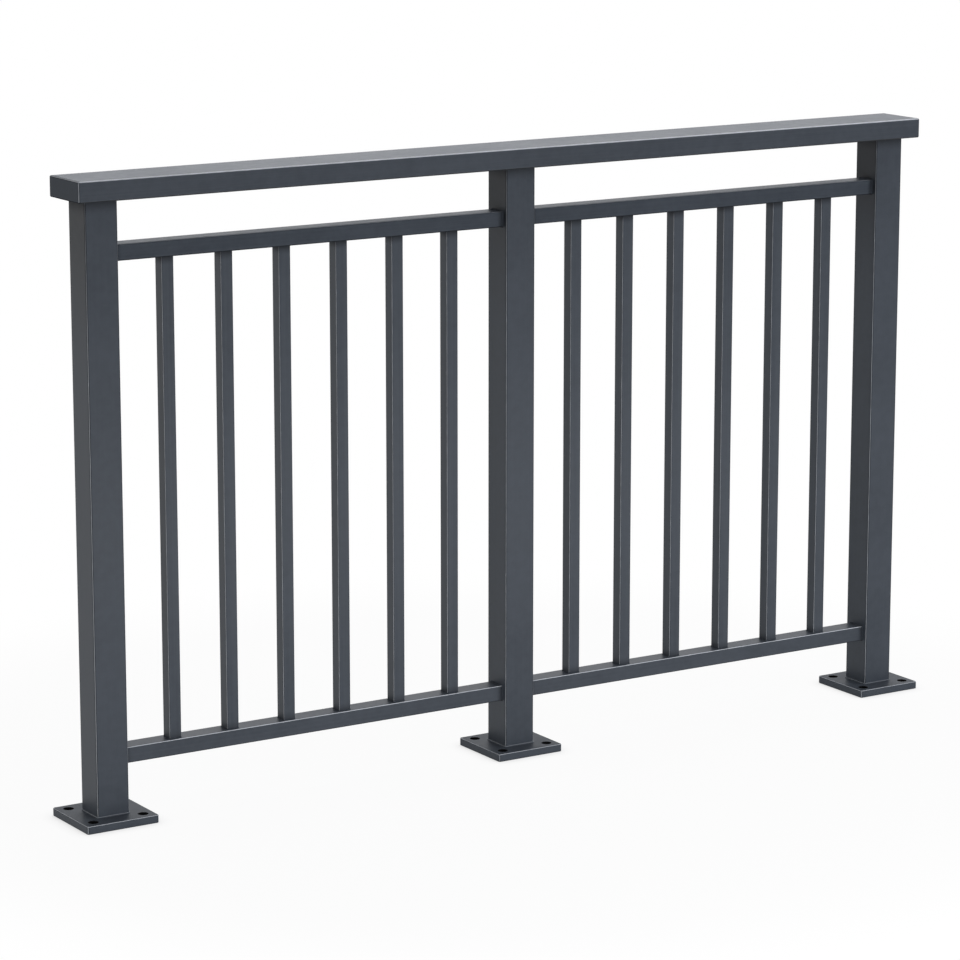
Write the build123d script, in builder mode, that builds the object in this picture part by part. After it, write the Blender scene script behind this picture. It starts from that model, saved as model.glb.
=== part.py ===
from build123d import *
import os

# Aluminium balcony railing of two equal bays: three square posts welded on square base plates,
# one flat handrail over the post tops, and in each bay an upper rail, a lower rail and
# a row of upright balusters between them. Everything is drawn aluminium tube except the plates.
# All sizes are millimetres. X runs along the railing, Y across it, Z up. The origin is the centre
# of the middle base plate's underside, which is the face that lies on the balcony floor.

# Overall
overall_height = 1100
bay_pitch = 820
bay_names = ["left", "right"]
post_names = ["left", "middle", "right"]

# Posts
post_width = 60
post_wall = 3
post_corner = 2.5

# Base plates
plate_side = 135
plate_thickness = 14
plate_corner = 4
plate_edge = 1.5
anchor_hole = 18
anchor_spacing = 94

# Handrail and its end caps
handrail_width = 108
handrail_height = 36
handrail_wall = 2.5
handrail_corner = 3
handrail_overhang = 22
cap_thickness = 3
cap_edge = 2.5
cap_spigot_length = 15
cap_spigot_wall = 2
cap_clearance = 0.3

# Upper and lower rails
rail_width = 38
rail_height = 28
rail_wall = 2
rail_corner = 2
hand_gap = 77
floor_gap = 98

# Balusters
balusters_per_bay = 6
baluster_width = 23
baluster_wall = 1.5
baluster_corner = 1.5

# Places that follow from the sizes above
bays = len(bay_names)
post_spots = [bay_pitch * (index - bays / 2) for index in range(bays + 1)]
handrail_bottom = overall_height - handrail_height
tube_end = bay_pitch * bays / 2 + post_width / 2 + handrail_overhang - cap_thickness
upper_rail_bottom = handrail_bottom - hand_gap - rail_height
lower_rail_bottom = floor_gap
lower_rail_top = lower_rail_bottom + rail_height
bay_clear = bay_pitch - post_width
baluster_gap = (bay_clear - balusters_per_bay * baluster_width) / (balusters_per_bay + 1)
baluster_pitch = baluster_width + baluster_gap

os.makedirs("parts", exist_ok=True)


def save(piece, label):
    piece.part.label = label
    export_step(piece.part, f"parts/{label}.step")


def tube(plane, width, depth, wall, corner, length):
    # Rectangular drawn tube: round outer corners, square inner corners, open at both ends
    with BuildPart() as piece:
        with BuildSketch(plane):
            RectangleRounded(width, depth, corner)
            Rectangle(width - 2 * wall, depth - 2 * wall, mode=Mode.SUBTRACT)
        extrude(amount=length)
    return piece


def upright(x, bottom, top, width, wall, corner):
    # Square tube that stands at x in the middle of the railing's thickness
    return tube(Plane(origin=(x, 0, bottom)), width, width, wall, corner, top - bottom)


def lengthwise(start, length, bottom, width, height, wall, corner):
    # Tube that runs along X from start, with its underside at bottom
    plane = Plane(origin=(start, 0, bottom + height / 2), x_dir=(0, 1, 0), z_dir=(1, 0, 0))
    return tube(plane, width, height, wall, corner, length)


# Base plates: flat squares with a hole near each corner for the floor anchors
for name, x in zip(post_names, post_spots):
    with BuildPart() as base_plate:
        with BuildSketch(Plane(origin=(x, 0, 0))):
            RectangleRounded(plate_side, plate_side, plate_corner)
        extrude(amount=plate_thickness)
        flat_faces = base_plate.faces().filter_by(Axis.Z)
        fillet(flat_faces.edges(), radius=plate_edge)
        with Locations((x, 0, plate_thickness)):
            with GridLocations(anchor_spacing, anchor_spacing, 2, 2):
                Hole(anchor_hole / 2)
    save(base_plate, f"base_plate_{name}")

# Posts: from the top of each plate to the underside of the handrail, which closes them
for name, x in zip(post_names, post_spots):
    post = upright(x, plate_thickness, handrail_bottom, post_width, post_wall, post_corner)
    save(post, f"post_{name}")

# Handrail: one flat tube over all the posts, past the outer ones at both ends
handrail = lengthwise(
    -tube_end, 2 * tube_end, handrail_bottom,
    handrail_width, handrail_height, handrail_wall, handrail_corner,
)
save(handrail, "handrail")

# End caps: a flat cap as large as the tube, with a hollow spigot that sits inside it
spigot_width = handrail_width - 2 * handrail_wall - 2 * cap_clearance
spigot_height = handrail_height - 2 * handrail_wall - 2 * cap_clearance
handrail_middle = handrail_bottom + handrail_height / 2
for name, side in (("left", -1), ("right", 1)):
    seat = Plane(origin=(side * tube_end, 0, handrail_middle), x_dir=(0, 1, 0), z_dir=(side, 0, 0))
    with BuildPart() as end_cap:
        with BuildSketch(seat):
            RectangleRounded(handrail_width, handrail_height, handrail_corner)
        extrude(amount=cap_thickness)
        outer_face = end_cap.faces().sort_by(Axis.X)[-1 if side > 0 else 0]
        fillet(outer_face.edges(), radius=cap_edge)
        with BuildSketch(seat):
            Rectangle(spigot_width, spigot_height)
            Rectangle(spigot_width - 2 * cap_spigot_wall, spigot_height - 2 * cap_spigot_wall,
                      mode=Mode.SUBTRACT)
        extrude(amount=-cap_spigot_length)
    save(end_cap, f"handrail_end_cap_{name}")

# Each bay: two rails from post face to post face, and the balusters evenly between them
for name, bay_post in zip(bay_names, post_spots):
    bay_start = bay_post + post_width / 2
    for level, bottom in (("upper", upper_rail_bottom), ("lower", lower_rail_bottom)):
        rail = lengthwise(bay_start, bay_clear, bottom, rail_width, rail_height, rail_wall, rail_corner)
        save(rail, f"{level}_rail_{name}")
    for number in range(balusters_per_bay):
        x = bay_start + baluster_gap + baluster_width / 2 + number * baluster_pitch
        baluster = upright(x, lower_rail_top, upper_rail_bottom,
                           baluster_width, baluster_wall, baluster_corner)
        save(baluster, f"baluster_{name}_{number + 1}")

print(f"height {overall_height}, length {2 * (tube_end + cap_thickness)}, gap {baluster_gap:.2f}")
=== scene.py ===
import math
import bmesh
import bpy
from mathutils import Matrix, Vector


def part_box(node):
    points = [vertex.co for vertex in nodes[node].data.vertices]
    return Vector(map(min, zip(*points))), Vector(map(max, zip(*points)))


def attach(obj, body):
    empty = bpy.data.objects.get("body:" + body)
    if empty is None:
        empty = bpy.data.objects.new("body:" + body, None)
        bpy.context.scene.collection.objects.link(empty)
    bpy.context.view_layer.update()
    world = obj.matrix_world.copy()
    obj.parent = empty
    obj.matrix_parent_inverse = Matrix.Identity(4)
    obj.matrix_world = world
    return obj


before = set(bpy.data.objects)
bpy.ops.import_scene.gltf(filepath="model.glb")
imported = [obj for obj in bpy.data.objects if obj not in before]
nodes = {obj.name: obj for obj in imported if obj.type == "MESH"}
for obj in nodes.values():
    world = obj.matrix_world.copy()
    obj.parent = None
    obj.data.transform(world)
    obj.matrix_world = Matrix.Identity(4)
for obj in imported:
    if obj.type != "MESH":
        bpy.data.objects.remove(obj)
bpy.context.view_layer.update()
scene = bpy.context.scene
print("frame loaded:", len(nodes), "nodes")


# Camera, on the left of the railing and a little above it, as in the photograph
camera = {
    "place": (-3.5528, -5.5117, 1.8763),
    "turn": 32.32,      # degrees to the right of straight ahead
    "dip": 11.87,       # degrees below the horizon
    "lens": 140.3,      # millimetres, on the sensor width below
    "sensor": 36.0,
    "clipEnd": 60.0,    # metres
}


def makeCamera():
    data = bpy.data.cameras.new("camera")
    data.lens = camera["lens"]
    data.sensor_width = camera["sensor"]
    data.clip_end = camera["clipEnd"]
    eye = bpy.data.objects.new("camera", data)
    eye.location = camera["place"]
    eye.rotation_euler = (math.radians(90 - camera["dip"]), 0, math.radians(-camera["turn"]))
    scene.collection.objects.link(eye)
    scene.camera = eye


makeCamera()
print("camera ready")


# Small helpers for node trees
def newMaterial(name):
    material = bpy.data.materials.new(name)
    material.use_nodes = True
    tree = material.node_tree
    tree.nodes.clear()
    return material, tree


def newGroup(name, kind, inputs, outputs):
    # Sockets are pairs of a name and a type; an input may also have its usual value
    group = bpy.data.node_groups.new(name, kind)
    for socketName, socketType, *usual in inputs:
        socket = group.interface.new_socket(socketName, in_out="INPUT", socket_type=socketType)
        if usual:
            socket.default_value = usual[0]
    for socketName, socketType in outputs:
        group.interface.new_socket(socketName, in_out="OUTPUT", socket_type=socketType)
    return group, group.nodes.new("NodeGroupInput"), group.nodes.new("NodeGroupOutput")


def addNode(tree, kind, **values):
    # Sets the node's own properties first, then the inputs that carry the same names
    node = tree.nodes.new(kind)
    for key, value in values.items():
        if key not in node.inputs:
            setattr(node, key, value)
    for key, value in values.items():
        if key in node.inputs:
            node.inputs[key].default_value = value
    return node


def feed(tree, socket, value):
    # A socket takes a link from another socket, or a plain value
    if isinstance(value, bpy.types.NodeSocket):
        tree.links.new(value, socket)
    elif value is not None:
        socket.default_value = value


def doMath(tree, operation, a, b=None, clamp=False):
    node = addNode(tree, "ShaderNodeMath", operation=operation, use_clamp=clamp)
    feed(tree, node.inputs[0], a)
    feed(tree, node.inputs[1], b)
    return node.outputs[0]


def remap(tree, value, low, high, toLow=0.0, toHigh=1.0, smooth=True):
    node = addNode(tree, "ShaderNodeMapRange")
    node.interpolation_type = "SMOOTHSTEP" if smooth else "LINEAR"
    feed(tree, node.inputs[0], value)
    for socket, number in zip(node.inputs[1:5], (low, high, toLow, toHigh)):
        feed(tree, socket, number)
    return node.outputs[0]


def blendColor(tree, share, a, b):
    node = addNode(tree, "ShaderNodeMix", data_type="RGBA")
    feed(tree, node.inputs[0], share)
    feed(tree, node.inputs[6], a)
    feed(tree, node.inputs[7], b)
    return node.outputs[2]


def noise(tree, vector, scale, detail, roughness=0.5):
    node = addNode(tree, "ShaderNodeTexNoise", Detail=detail, Roughness=roughness)
    feed(tree, node.inputs["Vector"], vector)
    feed(tree, node.inputs["Scale"], scale)
    return node.outputs["Fac"]


# Stage: white floor that fades into the white surroundings, and soft lamps
stage = {
    "floorSize": 40.0,
    "floorColor": (0.86, 0.86, 0.86, 1),
    "plainWhite": (1.0, 1.0, 1.0, 1),   # what the camera sees behind the railing
    "floorGlow": 0.94,      # share of plain white in what the camera sees of the floor
    "glowFrom": 0.95,       # metres from the middle where that share starts to rise
    "glowTo": 1.45,         # metres from the middle where it is all plain white
    "contactReach": 0.028,  # metres round the plates where the floor is shaded a little more
    "contactShade": 0.50,
    "contactSamples": 8,
    "skyColor": (1.0, 1.0, 1.0, 1),     # light from all round, and its strength
    "worldAmbient": 0.30,
}
lamps = {
    # place, target, width, height, power, color
    "topLamp": ((1.6, 0.3, 4.0), (0.6, 0, 0.6), 4.4, 1.8, 60.0, (1.0, 0.95, 0.93)),
    "backLamp": ((1.8, 3.6, 3.2), (0.3, 0, 0.6), 4.4, 1.6, 36.0, (0.80, 0.87, 1.0)),
    "keyLamp": ((4.0, -4.2, 2.6), (0, 0, 0.5), 2.4, 1.6, 62.0, (0.78, 0.86, 1.0)),
    "lowLamp": ((-0.1, -1.5, 0.12), (-0.1, 0, 0.12), 3.6, 0.2, 15.4, (0.97, 0.98, 1.0)),
    "leftLamp": ((-2.2, -0.6, 0.15), (-0.4, 0, 0.15), 1.6, 0.3, 4.8, (1.0, 0.95, 0.90)),
}


def makeFloor():
    half = stage["floorSize"] / 2
    mesh = bpy.data.meshes.new("floor")
    rim = [(-half, -half, 0), (half, -half, 0), (half, half, 0), (-half, half, 0)]
    mesh.from_pydata(rim, [], [(0, 1, 2, 3)])
    floor = bpy.data.objects.new("floor", mesh)
    scene.collection.objects.link(floor)
    material, tree = newMaterial("paleFloor")
    out = addNode(tree, "ShaderNodeOutputMaterial")
    diffuse = addNode(tree, "ShaderNodeBsdfDiffuse", Color=stage["floorColor"])
    glow = addNode(tree, "ShaderNodeEmission", Color=stage["plainWhite"], Strength=1.0)
    path = addNode(tree, "ShaderNodeLightPath")
    spot = addNode(tree, "ShaderNodeTexCoord")
    far = addNode(tree, "ShaderNodeVectorMath", operation="LENGTH")
    tree.links.new(spot.outputs["Object"], far.inputs[0])
    white = remap(tree, far.outputs["Value"],
                  stage["glowFrom"], stage["glowTo"], stage["floorGlow"], 1.0)
    near = addNode(tree, "ShaderNodeAmbientOcclusion",
                   samples=stage["contactSamples"], Distance=stage["contactReach"])
    shade = doMath(tree, "SUBTRACT", 1.0, near.outputs["AO"])
    shade = doMath(tree, "MULTIPLY", shade, stage["contactShade"])
    white = doMath(tree, "SUBTRACT", white, shade)
    seen = doMath(tree, "MAXIMUM", path.outputs["Is Camera Ray"], path.outputs["Is Glossy Ray"])
    mix = addNode(tree, "ShaderNodeMixShader")
    tree.links.new(doMath(tree, "MULTIPLY", seen, white), mix.inputs[0])
    tree.links.new(diffuse.outputs[0], mix.inputs[1])
    tree.links.new(glow.outputs[0], mix.inputs[2])
    tree.links.new(mix.outputs[0], out.inputs[0])
    mesh.materials.append(material)


def makeWorld():
    world = bpy.data.worlds.new("studio")
    world.use_nodes = True
    tree = world.node_tree
    tree.nodes.clear()
    out = addNode(tree, "ShaderNodeOutputWorld")
    seenBack = addNode(tree, "ShaderNodeBackground", Color=stage["plainWhite"], Strength=1.0)
    ambient = addNode(tree, "ShaderNodeBackground",
                      Color=stage["skyColor"], Strength=stage["worldAmbient"])
    path = addNode(tree, "ShaderNodeLightPath")
    seen = doMath(tree, "MAXIMUM", path.outputs["Is Camera Ray"], path.outputs["Is Glossy Ray"])
    seen = doMath(tree, "MAXIMUM", seen, path.outputs["Is Transmission Ray"])
    mix = addNode(tree, "ShaderNodeMixShader")
    tree.links.new(seen, mix.inputs[0])
    tree.links.new(ambient.outputs[0], mix.inputs[1])
    tree.links.new(seenBack.outputs[0], mix.inputs[2])
    tree.links.new(mix.outputs[0], out.inputs[0])
    scene.world = world


def addLamp(name, place, target, width, height, power, color):
    data = bpy.data.lights.new(name, "AREA")
    data.shape = "RECTANGLE"
    data.size = width
    data.size_y = height
    data.energy = power
    data.color = color
    lamp = bpy.data.objects.new(name, data)
    lamp.location = place
    aim = Vector(target) - Vector(place)
    lamp.rotation_euler = aim.to_track_quat("-Z", "Y").to_euler()
    lamp.visible_camera = False
    scene.collection.objects.link(lamp)


makeFloor()
makeWorld()
for lampName, values in lamps.items():
    addLamp(lampName, *values)
scene.view_settings.view_transform = "Standard"
print("stage ready")


# Effects that several coats share. A span is where a mask starts and ends its change
spans = {
    "grain": (0.32, 0.68),          # of the noise, from 0 to 1
    "lines": (0.30, 0.70),
    "upward": (0.25, 0.60),         # of the normal's upward part, from 0 to 1
    "downward": (-0.40, -0.15),     # the same, from 1 to 0
    "level": (0.15, 0.40),          # the same without its sign, from 1 to 0
    "cornerRise": 5.0,              # the mask of all corners is full at this many times its begin
    "holeWall": (1.01, 1.06),       # of the distance from a hole's middle, in its radii, 1 to 0
}


def makeGrainGroup():
    # Powder coat: wide soft clouds, a finer mottle, and the skin's orange peel as height
    group, start, end = newGroup(
        "powderGrain", "ShaderNodeTree",
        [("Vector", "NodeSocketVector"), ("Cloud Scale", "NodeSocketFloat", 7.0),
         ("Mottle Scale", "NodeSocketFloat", 60.0), ("Peel Scale", "NodeSocketFloat", 700.0)],
        [("Clouds", "NodeSocketFloat"), ("Mottle", "NodeSocketFloat"), ("Height", "NodeSocketFloat")],
    )
    place = start.outputs["Vector"]
    clouds = noise(group, place, start.outputs["Cloud Scale"], detail=3.0)
    mottle = noise(group, place, start.outputs["Mottle Scale"], detail=4.0, roughness=0.6)
    peel = noise(group, place, start.outputs["Peel Scale"], detail=1.0)
    feed(group, end.inputs["Clouds"], remap(group, clouds, *spans["grain"]))
    feed(group, end.inputs["Mottle"], remap(group, mottle, *spans["grain"]))
    feed(group, end.inputs["Height"], peel)
    return group


def makeLinesGroup():
    # Faint drawing lines that run along a tube: noise stretched along its length
    group, start, end = newGroup(
        "drawingLines", "ShaderNodeTree",
        [("Vector", "NodeSocketVector"), ("Stretch", "NodeSocketVector", (2.0, 300.0, 300.0))],
        [("Lines", "NodeSocketFloat")],
    )
    stretched = addNode(group, "ShaderNodeVectorMath", operation="MULTIPLY")
    group.links.new(start.outputs["Vector"], stretched.inputs[0])
    group.links.new(start.outputs["Stretch"], stretched.inputs[1])
    lines = noise(group, stretched.outputs[0], scale=1.0, detail=2.0, roughness=0.6)
    feed(group, end.inputs["Lines"], remap(group, lines, *spans["lines"]))
    return group


def makeArrisGroup():
    # Rounded corners, told from flat faces by the normal: the crests that look up or level,
    # the flanks on both sides of a crest, the corners that look down, and all of them
    group, start, end = newGroup(
        "arris", "ShaderNodeTree",
        [("Normal", "NodeSocketVector"), ("Begin", "NodeSocketFloat", 0.004),
         ("Crest Begin", "NodeSocketFloat", 0.07), ("Crest Full", "NodeSocketFloat", 0.16)],
        [("Level", "NodeSocketFloat"), ("Upper", "NodeSocketFloat"), ("Flank", "NodeSocketFloat"),
         ("Lower", "NodeSocketFloat"), ("Whole", "NodeSocketFloat")],
    )
    size = addNode(group, "ShaderNodeVectorMath", operation="ABSOLUTE")
    group.links.new(start.outputs["Normal"], size.inputs[0])
    parts = addNode(group, "ShaderNodeSeparateXYZ")
    group.links.new(size.outputs[0], parts.inputs[0])
    most = doMath(group, "MAXIMUM", parts.outputs[0], parts.outputs[1])
    most = doMath(group, "MAXIMUM", most, parts.outputs[2])
    turned = doMath(group, "SUBTRACT", 1.0, most)
    full = doMath(group, "MULTIPLY", start.outputs["Begin"], spans["cornerRise"])
    whole = remap(group, turned, start.outputs["Begin"], full)
    crest = remap(group, turned, start.outputs["Crest Begin"], start.outputs["Crest Full"])
    signed = addNode(group, "ShaderNodeSeparateXYZ")
    group.links.new(start.outputs["Normal"], signed.inputs[0])
    upward = remap(group, signed.outputs[2], *spans["upward"])
    downward = remap(group, signed.outputs[2], *spans["downward"], 1.0, 0.0)
    level = remap(group, parts.outputs[2], *spans["level"], 1.0, 0.0)
    feed(group, end.inputs["Level"], doMath(group, "MULTIPLY", crest, level))
    feed(group, end.inputs["Upper"], doMath(group, "MULTIPLY", crest, upward))
    feed(group, end.inputs["Flank"], doMath(group, "SUBTRACT", whole, crest, clamp=True))
    feed(group, end.inputs["Lower"], doMath(group, "MULTIPLY", whole, downward))
    feed(group, end.inputs["Whole"], whole)
    return group


def makeJointGroup():
    # Painted shade close to both ends of a piece, where the joints shade it, fading over a short
    # reach
    group, start, end = newGroup(
        "paintedJointShade", "ShaderNodeTree",
        [("Along", "NodeSocketFloat"), ("Low", "NodeSocketFloat"), ("High", "NodeSocketFloat"),
         ("Low Share", "NodeSocketFloat", 0.3), ("High Share", "NodeSocketFloat", 0.8),
         ("Reach", "NodeSocketFloat", 0.02)],
        [("Painted Shade", "NodeSocketFloat")],
    )
    along, reach = start.outputs["Along"], start.outputs["Reach"]
    fromLow = doMath(group, "DIVIDE", doMath(group, "SUBTRACT", along, start.outputs["Low"]), reach)
    fromHigh = doMath(group, "DIVIDE", doMath(group, "SUBTRACT", start.outputs["High"], along), reach)
    low = remap(group, fromLow, 0.0, 1.0, start.outputs["Low Share"], 0.0)
    high = remap(group, fromHigh, 0.0, 1.0, start.outputs["High Share"], 0.0)
    feed(group, end.inputs["Painted Shade"], doMath(group, "MAXIMUM", low, high))
    return group


def makeHoleGroup():
    # Tells the walls of the anchor holes from the rest of the base plates, for painted shade on them
    group, start, end = newGroup(
        "anchorHoles", "ShaderNodeTree",
        [("Vector", "NodeSocketVector"), ("Plate Pitch", "NodeSocketFloat", 0.82),
         ("Hole Offset", "NodeSocketFloat", 0.047), ("Hole Radius", "NodeSocketFloat", 0.009)],
        [("Wall", "NodeSocketFloat")],
    )
    parts = addNode(group, "ShaderNodeSeparateXYZ")
    group.links.new(start.outputs["Vector"], parts.inputs[0])
    # Distance from the nearest plate's middle, folded so that its four holes lie on each other
    turns = doMath(group, "DIVIDE", parts.outputs[0], start.outputs["Plate Pitch"])
    turns = doMath(group, "ROUND", turns)
    middleX = doMath(group, "MULTIPLY", turns, start.outputs["Plate Pitch"])
    acrossX = doMath(group, "ABSOLUTE", doMath(group, "SUBTRACT", parts.outputs[0], middleX))
    acrossY = doMath(group, "ABSOLUTE", parts.outputs[1])
    sideX = doMath(group, "SUBTRACT", acrossX, start.outputs["Hole Offset"])
    sideY = doMath(group, "SUBTRACT", acrossY, start.outputs["Hole Offset"])
    squareX = doMath(group, "MULTIPLY", sideX, sideX)
    squareY = doMath(group, "MULTIPLY", sideY, sideY)
    square = doMath(group, "ADD", squareX, squareY)
    share = doMath(group, "DIVIDE", doMath(group, "SQRT", square), start.outputs["Hole Radius"])
    feed(group, end.inputs["Wall"], remap(group, share, *spans["holeWall"], 1.0, 0.0))
    return group


grainGroup = makeGrainGroup()
linesGroup = makeLinesGroup()
arrisGroup = makeArrisGroup()
jointGroup = makeJointGroup()
holeGroup = makeHoleGroup()


def useGroup(tree, group, **values):
    node = tree.nodes.new("ShaderNodeGroup")
    node.node_tree = group
    for key, value in values.items():
        feed(tree, node.inputs[key.replace("_", " ")], value)
    return node


# Coats: anthracite powder coat on every member, with what differs between them.
# lines, corner, upper and flank are shares of the shades below. corner is a painted highlight on
# crests of corners that look to the side, upper a painted highlight on those that look up, and
# flank painted shade on both sides of a crest. crest is where a painted highlight begins and is
# full. The shade near the joints gives the share of painted shade at the low end, at the high end,
# and its reach in metres. The side shade of a post gives the share of painted shade on its side
# faces under the handrail, and how many metres down it goes
alongX = (1.5, 330.0, 330.0)
alongZ = (330.0, 330.0, 1.5)
alongThinZ = (160.0, 160.0, 1.5)
coats = {
    "postCoat": {"stretch": alongZ, "lines": 0.10, "roughness": 0.40, "specular": 0.18,
                 "corner": 0.62, "upper": 0.36, "flank": 0.85, "crest": (0.15, 0.23),
                 "paintedShade": (0.04, 0.56, 0.026), "sideShade": (0.72, 0.32)},
    "balusterCoat": {"stretch": alongThinZ, "lines": 0.30, "roughness": 0.40, "specular": 0.18,
                     "corner": 0.85, "upper": 0.36, "flank": 0.75, "crest": (0.13, 0.22),
                     "paintedShade": (0.40, 0.70, 0.016)},
    "upperRailCoat": {"stretch": alongX, "lines": 0.20, "roughness": 0.40, "specular": 0.10,
                      "corner": 0.10, "upper": 0.36, "flank": 0.70, "crest": (0.08, 0.16),
                      "paintedShade": (0.45, 0.45, 0.012)},
    "lowerRailCoat": {"stretch": alongX, "lines": 0.20, "roughness": 0.40, "specular": 0.18,
                      "corner": 0.16, "upper": 1.0, "flank": 0.50, "crest": (0.05, 0.13),
                      "paintedShade": (0.45, 0.45, 0.012)},
    "handrailCoat": {"stretch": alongX, "lines": 0.22, "roughness": 0.40, "specular": 0.18,
                     "corner": 0.08, "upper": 1.0, "flank": 0.12, "crest": (0.006, 0.028)},
    "capCoat": {"stretch": alongZ, "lines": 0.05, "roughness": 0.46, "specular": 0.06,
                "corner": 0.42, "upper": 0.85, "flank": 0.60, "crest": (0.06, 0.14)},
    "plateCoat": {"stretch": alongX, "lines": 0.16, "roughness": 0.46, "specular": 0.15,
                  "corner": 0.24, "upper": 0.80, "flank": 0.60, "crest": (0.06, 0.14)},
    "footBeadCoat": {"stretch": alongZ, "lines": 0.0, "roughness": 0.42, "specular": 0.18,
                     "corner": 0.0, "upper": 0.18, "flank": 0.0, "crest": (0.05, 0.15)},
    "smallBeadCoat": {"stretch": alongZ, "lines": 0.0, "roughness": 0.45, "specular": 0.14,
                      "corner": 0.0, "upper": 0.0, "flank": 0.5, "crest": (0.05, 0.15)},
}
shades = {
    "deep": (0.040, 0.048, 0.060, 1),
    "pale": (0.052, 0.061, 0.075, 1),
    "line": (0.070, 0.079, 0.092, 1),
    # colour of the painted highlight on the crests of corners
    "arris": (0.68, 0.71, 0.76, 1),
    # colour of the painted shade on the flanks of crests and under the corners that look down
    "flank": (0.010, 0.012, 0.015, 1),
    # colour of the painted shade near the joints and under the handrail
    "paintedShade": (0.008, 0.009, 0.011, 1),
    # colour of the painted shade inside the anchor holes
    "hole": (0.006, 0.006, 0.007, 1),
    "mottleShare": 0.45,    # shares of mottle and clouds in the tone from deep to pale
    "cloudShare": 0.55,
    "highlightLeast": 0.80,      # what the mottle leaves of a painted highlight on a crest where it is darkest
    "underShadeShare": 0.9,      # painted shade on the corners that look down
    "glossier": 0.04,       # roughness taken off where the tone is deep
    "duller": 0.05,         # and added where it is pale
    "cornerRough": 0.6,     # roughness added on corners, times the coat's flank share
    "shadeRough": 0.35,      # and where the painted shade near the joints lies
    "peelStrength": 0.5,
    "peelHeight": 0.00004,  # metres
}


def makeCoat(name, ends=None, holes=False):
    # ends is the axis that a tube lies along, and its low and high end on it
    look = coats[name]
    material, tree = newMaterial(name)
    out = addNode(tree, "ShaderNodeOutputMaterial")
    skin = addNode(tree, "ShaderNodeBsdfPrincipled")
    skin.inputs["Specular IOR Level"].default_value = look["specular"]
    spot = addNode(tree, "ShaderNodeTexCoord")
    place = spot.outputs["Object"]
    grain = useGroup(tree, grainGroup, Vector=place)
    mottle = doMath(tree, "MULTIPLY", grain.outputs["Mottle"], shades["mottleShare"])
    clouds = doMath(tree, "MULTIPLY", grain.outputs["Clouds"], shades["cloudShare"])
    tone = doMath(tree, "ADD", mottle, clouds, clamp=True)
    color = blendColor(tree, tone, shades["deep"], shades["pale"])
    lines = useGroup(tree, linesGroup, Vector=place, Stretch=look["stretch"])
    drawn = doMath(tree, "MULTIPLY", lines.outputs["Lines"], look["lines"])
    color = blendColor(tree, drawn, color, shades["line"])
    arris = useGroup(tree, arrisGroup, Normal=spot.outputs["Normal"],
                     Crest_Begin=look["crest"][0], Crest_Full=look["crest"][1])
    # Painted shade on both sides of each crest, and on the corners that look down
    flank = doMath(tree, "MULTIPLY", arris.outputs["Flank"], look["flank"])
    color = blendColor(tree, flank, color, shades["flank"])
    paintedUnderShade = doMath(tree, "MULTIPLY", arris.outputs["Lower"], shades["underShadeShare"])
    color = blendColor(tree, paintedUnderShade, color, shades["flank"])
    # Painted highlight on the crests of the corners, a little broken where the mottle is dark
    corner = doMath(tree, "MULTIPLY", arris.outputs["Level"], look["corner"])
    upper = doMath(tree, "MULTIPLY", arris.outputs["Upper"], look["upper"])
    paintedHighlight = doMath(tree, "MAXIMUM", corner, upper)
    highlightMottle = remap(tree, grain.outputs["Mottle"], 0.0, 1.0, shades["highlightLeast"], 1.0, smooth=False)
    paintedHighlight = doMath(tree, "MULTIPLY", paintedHighlight, highlightMottle)
    color = blendColor(tree, paintedHighlight, color, shades["arris"])
    least, most = look["roughness"] - shades["glossier"], look["roughness"] + shades["duller"]
    rough = remap(tree, tone, 0.0, 1.0, least, most, smooth=False)
    added = doMath(tree, "MULTIPLY", arris.outputs["Whole"], look["flank"] * shades["cornerRough"])
    rough = doMath(tree, "ADD", rough, added)
    if ends:
        axis, low, high = ends
        lowShare, highShare, reach = look["paintedShade"]
        parts = addNode(tree, "ShaderNodeSeparateXYZ")
        tree.links.new(place, parts.inputs[0])
        # The railing's two bays mirror each other, so a distance along X counts from the middle
        along = parts.outputs[2] if axis == "Z" else doMath(tree, "ABSOLUTE", parts.outputs[0])
        # Painted shade near the ends of each piece, with more roughness there
        joint = useGroup(tree, jointGroup, Along=along, Low=low, High=high,
                         Low_Share=lowShare, High_Share=highShare, Reach=reach)
        color = blendColor(tree, joint.outputs["Painted Shade"], color, shades["paintedShade"])
        added = doMath(tree, "MULTIPLY", joint.outputs["Painted Shade"], shades["shadeRough"])
        rough = doMath(tree, "ADD", rough, added)
        if "sideShade" in look:
            # Painted shade under the handrail, only on the faces that look along the railing
            share, sideShadeReach = look["sideShade"]
            turned = addNode(tree, "ShaderNodeSeparateXYZ")
            tree.links.new(spot.outputs["Normal"], turned.inputs[0])
            sideShade = remap(tree, along, high - sideShadeReach, high, 0.0, share)
            sideShade = doMath(tree, "MULTIPLY", sideShade, doMath(tree, "ABSOLUTE", turned.outputs[0]))
            color = blendColor(tree, sideShade, color, shades["paintedShade"])
    if holes:
        # Painted shade on the walls of the anchor holes, with full roughness there
        paintedHoleShade = useGroup(tree, holeGroup, Vector=place).outputs["Wall"]
        color = blendColor(tree, paintedHoleShade, color, shades["hole"])
        rough = doMath(tree, "MAXIMUM", rough, paintedHoleShade)
    tree.links.new(color, skin.inputs["Base Color"])
    tree.links.new(rough, skin.inputs["Roughness"])
    bump = addNode(tree, "ShaderNodeBump",
                   Strength=shades["peelStrength"], Distance=shades["peelHeight"])
    tree.links.new(grain.outputs["Height"], bump.inputs["Height"])
    tree.links.new(bump.outputs[0], skin.inputs["Normal"])
    tree.links.new(skin.outputs[0], out.inputs[0])
    return material


def coverNodes(start, material):
    for name, node in nodes.items():
        if name.startswith(start):
            node.data.materials.clear()
            node.data.materials.append(material)


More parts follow.
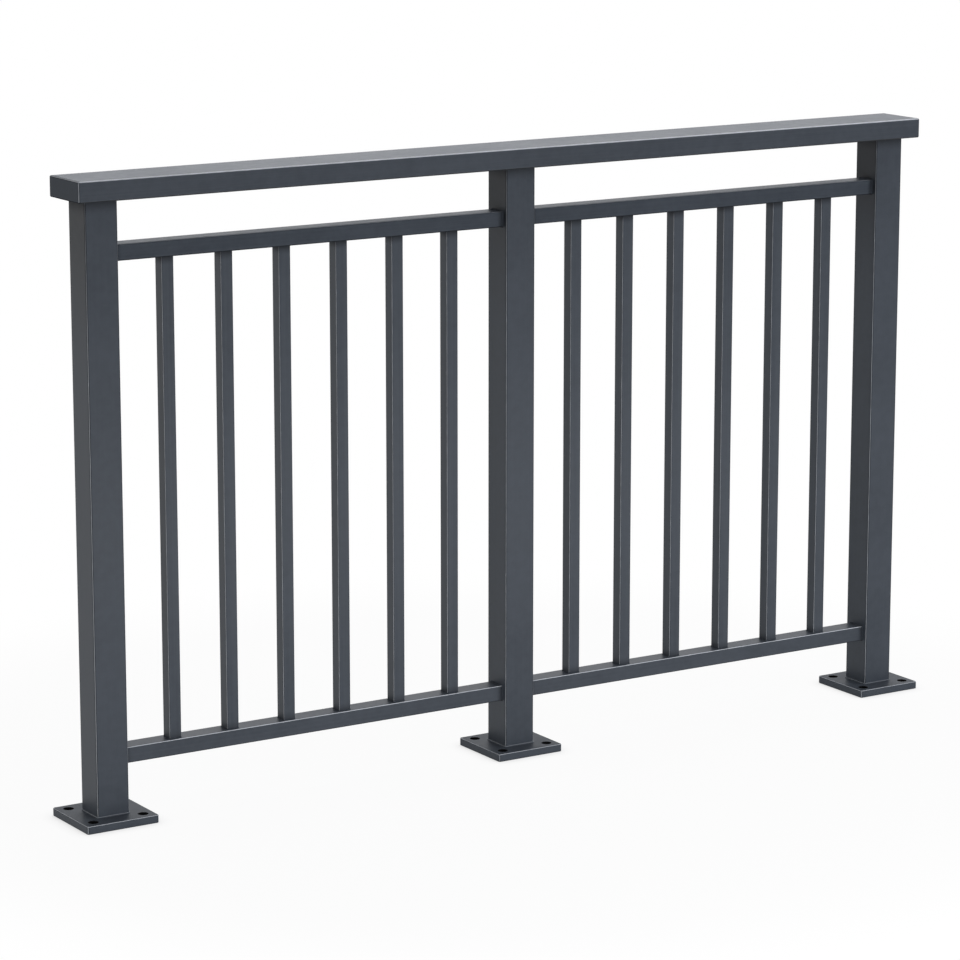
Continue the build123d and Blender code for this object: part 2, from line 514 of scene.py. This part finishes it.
postLow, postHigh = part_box("post_left")
balusterLow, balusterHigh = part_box("baluster_left_1")
railLow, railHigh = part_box("upper_rail_right")
coverNodes("post_", makeCoat("postCoat", ("Z", postLow.z, postHigh.z)))
coverNodes("baluster_", makeCoat("balusterCoat", ("Z", balusterLow.z, balusterHigh.z)))
coverNodes("upper_rail_", makeCoat("upperRailCoat", ("X", railLow.x, railHigh.x)))
coverNodes("lower_rail_", makeCoat("lowerRailCoat", ("X", railLow.x, railHigh.x)))
coverNodes("handrail", makeCoat("handrailCoat"))    # the caps too, until the next line
coverNodes("handrail_end_cap_", makeCoat("capCoat"))
coverNodes("base_plate_", makeCoat("plateCoat", holes=True))
footBeadCoat = makeCoat("footBeadCoat")
smallBeadCoat = makeCoat("smallBeadCoat")
print("materials ready")


# Weld beads round the ends of the posts, rails and balusters, laid by Geometry Nodes
beads = {
    # radius of the bead and of the tube's corner, and the ripples' pitch, in metres;
    # depth of the ripples is a share of the bead's radius
    "post": {"radius": 0.0022, "corner": 0.0025, "pitch": 0.0030, "depth": 0.10},
    "rail": {"radius": 0.0016, "corner": 0.0020, "pitch": 0.0024, "depth": 0.10},
    "baluster": {"radius": 0.0010, "corner": 0.0015, "pitch": 0.0020, "depth": 0.08},
    "step": 0.0008,             # metres between the rings of a bead
    "sides": 8,
    "cornerPoints": 4,
    "driftScale": 70.0,         # noise that changes the size of a bead along its run
    "driftNoise": (0.30, 0.70),
    "driftSize": (0.86, 1.06),
}


def makeBeadTree():
    tree, start, end = newGroup(
        "weldBead", "GeometryNodeTree",
        [("Geometry", "NodeSocketGeometry"), ("Width", "NodeSocketFloat", 0.06),
         ("Depth", "NodeSocketFloat", 0.06), ("Corner", "NodeSocketFloat", 0.0025),
         ("Turn", "NodeSocketRotation"), ("Bead Radius", "NodeSocketFloat", 0.002),
         ("Ripple Pitch", "NodeSocketFloat", 0.003), ("Ripple Depth", "NodeSocketFloat", 0.1),
         ("Step", "NodeSocketFloat", 0.0008), ("Sides", "NodeSocketInt", 8),
         ("Material", "NodeSocketMaterial")],
        [("Geometry", "NodeSocketGeometry")],
    )
    outline = tree.nodes.new("GeometryNodeCurvePrimitiveQuadrilateral")
    feed(tree, outline.inputs["Width"], start.outputs["Width"])
    feed(tree, outline.inputs["Height"], start.outputs["Depth"])
    rounded = tree.nodes.new("GeometryNodeFilletCurve")
    rounded.mode = "POLY"
    rounded.inputs["Count"].default_value = beads["cornerPoints"]
    feed(tree, rounded.inputs["Curve"], outline.outputs[0])
    feed(tree, rounded.inputs["Radius"], start.outputs["Corner"])
    placed = tree.nodes.new("GeometryNodeInstanceOnPoints")
    feed(tree, placed.inputs["Points"], start.outputs["Geometry"])
    feed(tree, placed.inputs["Instance"], rounded.outputs[0])
    feed(tree, placed.inputs["Rotation"], start.outputs["Turn"])
    paths = tree.nodes.new("GeometryNodeRealizeInstances")
    feed(tree, paths.inputs[0], placed.outputs[0])
    even = tree.nodes.new("GeometryNodeResampleCurve")
    even.mode = "LENGTH"
    feed(tree, even.inputs["Curve"], paths.outputs[0])
    feed(tree, even.inputs["Length"], start.outputs["Step"])

    # Ripples along the bead, a wave from 0 to 0.5 and back at each pitch,
    # and a slow change of its size from a fixed noise
    run = tree.nodes.new("GeometryNodeSplineParameter")
    wave = doMath(tree, "DIVIDE", run.outputs["Length"], start.outputs["Ripple Pitch"])
    wave = doMath(tree, "PINGPONG", wave, 0.5)
    deep = doMath(tree, "MULTIPLY", start.outputs["Ripple Depth"], 2.0)
    ripple = doMath(tree, "MULTIPLY", wave, deep)
    point = tree.nodes.new("GeometryNodeInputPosition")
    drift = noise(tree, point.outputs[0], beads["driftScale"], detail=1.0)
    drift = remap(tree, drift, *beads["driftNoise"], *beads["driftSize"])
    size = doMath(tree, "MULTIPLY", doMath(tree, "SUBTRACT", 1.0, ripple), drift)
    ring = tree.nodes.new("GeometryNodeCurvePrimitiveCircle")
    feed(tree, ring.inputs["Resolution"], start.outputs["Sides"])
    feed(tree, ring.inputs["Radius"], start.outputs["Bead Radius"])
    body = tree.nodes.new("GeometryNodeCurveToMesh")
    feed(tree, body.inputs["Curve"], even.outputs[0])
    feed(tree, body.inputs["Profile Curve"], ring.outputs[0])
    feed(tree, body.inputs["Scale"], size)
    smooth = tree.nodes.new("GeometryNodeSetShadeSmooth")
    feed(tree, smooth.inputs["Geometry"], body.outputs[0])
    whole = tree.nodes.new("GeometryNodeRealizeInstances")
    feed(tree, whole.inputs[0], smooth.outputs[0])
    coat = tree.nodes.new("GeometryNodeSetMaterial")
    feed(tree, coat.inputs["Geometry"], whole.outputs[0])
    feed(tree, coat.inputs["Material"], start.outputs["Material"])
    feed(tree, end.inputs[0], coat.outputs[0])
    return tree


beadTree = makeBeadTree()


def layBeads(name, spots, width, depth, turn, look, coat):
    # One vertex stands for each tube end; the tree turns them into closed beads
    ends = bpy.data.meshes.new(name + "Ends")
    ends.from_pydata(spots, [], [])
    carrier = bpy.data.objects.new(name + "Ends", ends)
    scene.collection.objects.link(carrier)
    modifier = carrier.modifiers.new("beads", "NODES")
    modifier.node_group = beadTree
    sizes = {
        "Width": width, "Depth": depth, "Corner": look["corner"], "Turn": turn,
        "Bead Radius": look["radius"], "Ripple Pitch": look["pitch"], "Ripple Depth": look["depth"],
        "Step": beads["step"], "Sides": beads["sides"], "Material": coat,
    }
    for item in beadTree.interface.items_tree:
        if item.name in sizes and item.in_out == "INPUT":
            modifier[item.identifier] = sizes[item.name]
    graph = bpy.context.evaluated_depsgraph_get()
    mesh = bpy.data.meshes.new_from_object(carrier.evaluated_get(graph))
    bpy.data.objects.remove(carrier)
    addPiece(name, mesh, coat)


def addPiece(name, mesh, coat):
    # Turns the faces of a plain mesh outwards and puts it into the scene
    shell = bmesh.new()
    shell.from_mesh(mesh)
    bmesh.ops.recalc_face_normals(shell, faces=shell.faces)
    outward = bpy.data.meshes.new(name)
    shell.to_mesh(outward)
    shell.free()
    outward.materials.append(coat)
    piece = bpy.data.objects.new(name, outward)
    scene.collection.objects.link(piece)
    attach(piece, "root")
    outward.calc_loop_triangles()
    print(name, "has", len(outward.loop_triangles), "triangles")


def nodeBoxes(start):
    return [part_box(name) for name in sorted(nodes) if name.startswith(start)]


def middle(low, high, **fixed):
    # The middle of a box, moved to the given place on an axis
    spot = (low + high) / 2
    for axis, value in fixed.items():
        setattr(spot, axis, value)
    return tuple(spot)


upright = (0, 0, 0)
lengthwise = (0, math.pi / 2, 0)

posts = nodeBoxes("post_")
size = posts[0][1] - posts[0][0]
spots = [middle(low, high, z=low.z) for low, high in posts]
spots += [middle(low, high, z=high.z) for low, high in posts]
layBeads("post_weld_beads", spots, size.x, size.y, upright, beads["post"], footBeadCoat)

rails = nodeBoxes("upper_rail_") + nodeBoxes("lower_rail_")
size = rails[0][1] - rails[0][0]
spots = [middle(low, high, x=x) for low, high in rails for x in (low.x, high.x)]
layBeads("rail_weld_beads", spots, size.z, size.y, lengthwise, beads["rail"], smallBeadCoat)

balusters = nodeBoxes("baluster_")
size = balusters[0][1] - balusters[0][0]
spots = [middle(low, high, z=z) for low, high in balusters for z in (low.z, high.z)]
layBeads("baluster_weld_beads", spots, size.x, size.y, upright, beads["baluster"], smallBeadCoat)
print("weld beads ready")
